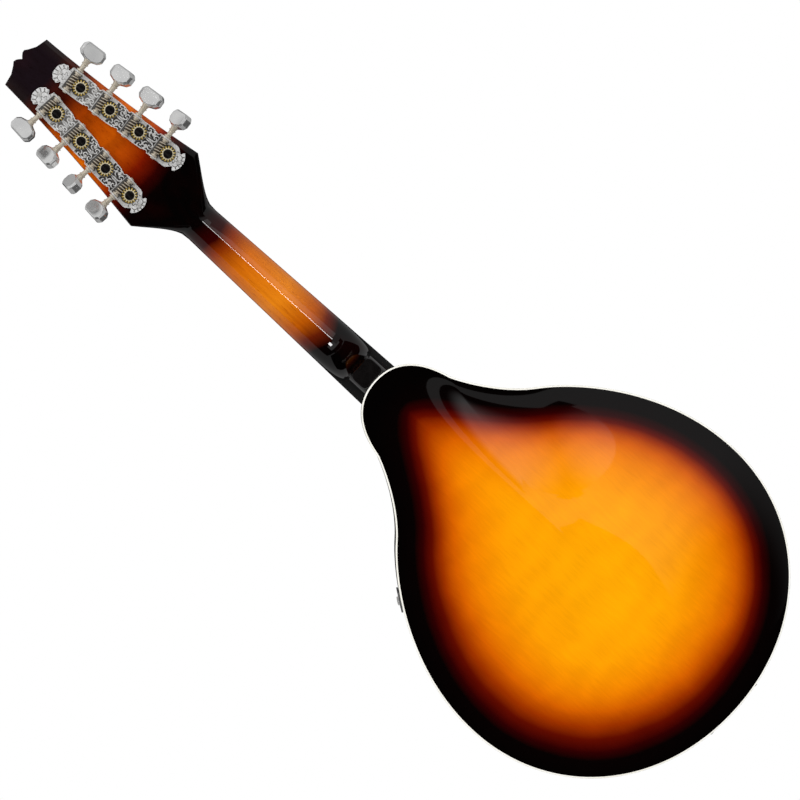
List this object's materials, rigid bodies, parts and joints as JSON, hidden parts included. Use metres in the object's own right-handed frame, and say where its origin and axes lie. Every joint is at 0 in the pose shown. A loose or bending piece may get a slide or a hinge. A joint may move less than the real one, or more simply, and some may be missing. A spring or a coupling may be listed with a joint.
{
  "type": "mandolin",
  "caption": "Teardrop-shaped carved mandolin with f-holes, floating bridge, elevated pickguard, hooked tailpiece and geared tuners.",
  "frame": {"origin": "flat crown of the back, under the widest line of the body, on the centre line", "axes": "+Z out of the soundboard, +Y from the tail towards the headstock, +X towards the treble side; it lies on its back on the plane Z = 0"},
  "size_m": [0.2706, 0.6829, 0.0813],
  "materials": {
    "spruce_top": "amber gloss lacquer shading to black at the edge",
    "maple_sunburst": "amber gloss lacquer shading through red to black at the edge",
    "black_plastic": "polished black",
    "raw_wood": "unfinished",
    "ivory_binding": "polished white",
    "rosewood": "oiled",
    "bone": "satin",
    "string_steel": "wound or plain bright wire",
    "rod_steel": "bare",
    "chrome": "bright plated",
    "nickel": "nickel plated, engraved",
    "brass": "turned"
  },
  "bodies": {
    "body": {"back_binding": "ivory_binding", "back_lining_bass": "raw_wood", "back_lining_treble": "raw_wood", "back_plate": "maple_sunburst", "bridge_base": "rosewood", "bridge_post_bass": "brass", "bridge_post_treble": "brass", "fretboard": "rosewood", "headstock_veneer": "black_plastic", "heel_cap": "black_plastic", "neck": "maple_sunburst", "neck_block": "raw_wood", "nut": "bone", "pickguard": "black_plastic", "pickguard_bracket": "chrome", "rim": "maple_sunburst", "soundboard": "spruce_top", "string_1": "string_steel", "string_2": "string_steel", "string_3": "string_steel", "string_4": "string_steel", "string_5": "string_steel", "string_6": "string_steel", "string_7": "string_steel", "string_8": "string_steel", "tail_block": "raw_wood", "tailpiece_base": "nickel", "tone_bar_bass": "raw_wood", "tone_bar_treble": "raw_wood", "top_binding": "ivory_binding", "top_lining_bass": "raw_wood", "top_lining_treble": "raw_wood", "truss_rod": "rod_steel", "truss_rod_cover": "black_plastic", "tuner_plate_bass": "nickel", "tuner_plate_treble": "nickel"},
    "key_treble_1": {"tuner_key_treble_1": "chrome"},
    "post_treble_1": {"tuner_post_treble_1": "brass"},
    "key_treble_2": {"tuner_key_treble_2": "chrome"},
    "post_treble_2": {"tuner_post_treble_2": "brass"},
    "key_treble_3": {"tuner_key_treble_3": "chrome"},
    "post_treble_3": {"tuner_post_treble_3": "brass"},
    "key_treble_4": {"tuner_key_treble_4": "chrome"},
    "post_treble_4": {"tuner_post_treble_4": "brass"},
    "key_bass_1": {"tuner_key_bass_1": "chrome"},
    "post_bass_1": {"tuner_post_bass_1": "brass"},
    "key_bass_2": {"tuner_key_bass_2": "chrome"},
    "post_bass_2": {"tuner_post_bass_2": "brass"},
    "key_bass_3": {"tuner_key_bass_3": "chrome"},
    "post_bass_3": {"tuner_post_bass_3": "brass"},
    "key_bass_4": {"tuner_key_bass_4": "chrome"},
    "post_bass_4": {"tuner_post_bass_4": "brass"},
    "saddle": {"bridge_saddle": "rosewood"},
    "thumbwheel_treble": {"thumbwheel_treble": "brass"},
    "thumbwheel_bass": {"thumbwheel_bass": "brass"},
    "tailpiece_cover": {"tailpiece_cover": "nickel"}
  },
  "joints": [
    {"name": "key_treble_1", "type": "hinge", "parent": "body", "child": "key_treble_1", "pos_m": [0.01918, 0.43937, 0.02385], "axis": [0.995, 0.0973, -0.0235], "continuous": true},
    {"name": "post_treble_1", "type": "hinge", "parent": "body", "child": "post_treble_1", "pos_m": [0.0199, 0.43243, 0.02553], "axis": [0, 0.2348, 0.972], "continuous": true},
    {"name": "key_treble_2", "type": "hinge", "parent": "body", "child": "key_treble_2", "pos_m": [0.01665, 0.46384, 0.01794], "axis": [0.995, 0.0973, -0.0235], "continuous": true},
    {"name": "post_treble_2", "type": "hinge", "parent": "body", "child": "post_treble_2", "pos_m": [0.01737, 0.45689, 0.01962], "axis": [0, 0.2348, 0.972], "continuous": true},
    {"name": "key_treble_3", "type": "hinge", "parent": "body", "child": "key_treble_3", "pos_m": [0.01411, 0.48831, 0.01203], "axis": [0.995, 0.0973, -0.0235], "continuous": true},
    {"name": "post_treble_3", "type": "hinge", "parent": "body", "child": "post_treble_3", "pos_m": [0.01483, 0.48136, 0.01371], "axis": [0, 0.2348, 0.972], "continuous": true},
    {"name": "key_treble_4", "type": "hinge", "parent": "body", "child": "key_treble_4", "pos_m": [0.01158, 0.51278, 0.00612], "axis": [0.995, 0.0973, -0.0235], "continuous": true},
    {"name": "post_treble_4", "type": "hinge", "parent": "body", "child": "post_treble_4", "pos_m": [0.0123, 0.50583, 0.00779], "axis": [0, 0.2348, 0.972], "continuous": true},
    {"name": "key_bass_1", "type": "hinge", "parent": "body", "child": "key_bass_1", "pos_m": [-0.01918, 0.43937, 0.02385], "axis": [-0.995, 0.0973, -0.0235], "continuous": true},
    {"name": "post_bass_1", "type": "hinge", "parent": "body", "child": "post_bass_1", "pos_m": [-0.0199, 0.43243, 0.02553], "axis": [0, -0.2348, -0.972], "continuous": true},
    {"name": "key_bass_2", "type": "hinge", "parent": "body", "child": "key_bass_2", "pos_m": [-0.01665, 0.46384, 0.01794], "axis": [-0.995, 0.0973, -0.0235], "continuous": true},
    {"name": "post_bass_2", "type": "hinge", "parent": "body", "child": "post_bass_2", "pos_m": [-0.01737, 0.45689, 0.01962], "axis": [0, -0.2348, -0.972], "continuous": true},
    {"name": "key_bass_3", "type": "hinge", "parent": "body", "child": "key_bass_3", "pos_m": [-0.01411, 0.48831, 0.01203], "axis": [-0.995, 0.0973, -0.0235], "continuous": true},
    {"name": "post_bass_3", "type": "hinge", "parent": "body", "child": "post_bass_3", "pos_m": [-0.01483, 0.48136, 0.01371], "axis": [0, -0.2348, -0.972], "continuous": true},
    {"name": "key_bass_4", "type": "hinge", "parent": "body", "child": "key_bass_4", "pos_m": [-0.01158, 0.51278, 0.00612], "axis": [-0.995, 0.0973, -0.0235], "continuous": true},
    {"name": "post_bass_4", "type": "hinge", "parent": "body", "child": "post_bass_4", "pos_m": [-0.0123, 0.50583, 0.00779], "axis": [0, -0.2348, -0.972], "continuous": true},
    {"name": "saddle_lift", "type": "slide", "parent": "body", "child": "saddle", "axis": [0, 0, 1], "range_m": [-0.001, 0.002], "deforming": ["string_1", "string_2", "string_3", "string_4", "string_5", "string_6", "string_7", "string_8"]},
    {"name": "thumbwheel_treble", "type": "hinge", "parent": "saddle", "child": "thumbwheel_treble", "pos_m": [0.035, 0.0347, 0.0726], "axis": [0, 0, 1], "range_deg": [-520, 1032]},
    {"name": "thumbwheel_bass", "type": "hinge", "parent": "saddle", "child": "thumbwheel_bass", "pos_m": [-0.035, 0.0347, 0.0726], "axis": [0, 0, 1], "range_deg": [-520, 1032]},
    {"name": "cover_slide", "type": "slide", "parent": "body", "child": "tailpiece_cover", "axis": [0, 0.9962, 0.0872], "range_m": [0, 0.045]}
  ],
  "couplings": [
    {"joint": "post_treble_1", "follows": "key_treble_1", "ratio": 0.066667},
    {"joint": "post_treble_2", "follows": "key_treble_2", "ratio": 0.066667},
    {"joint": "post_treble_3", "follows": "key_treble_3", "ratio": 0.066667},
    {"joint": "post_treble_4", "follows": "key_treble_4", "ratio": 0.066667},
    {"joint": "post_bass_1", "follows": "key_bass_1", "ratio": 0.066667},
    {"joint": "post_bass_2", "follows": "key_bass_2", "ratio": 0.066667},
    {"joint": "post_bass_3", "follows": "key_bass_3", "ratio": 0.066667},
    {"joint": "post_bass_4", "follows": "key_bass_4", "ratio": 0.066667},
    {"joint": "thumbwheel_treble", "follows": "saddle_lift", "rad_per_m": 8976},
    {"joint": "thumbwheel_bass", "follows": "saddle_lift", "rad_per_m": 8976}
  ]
}
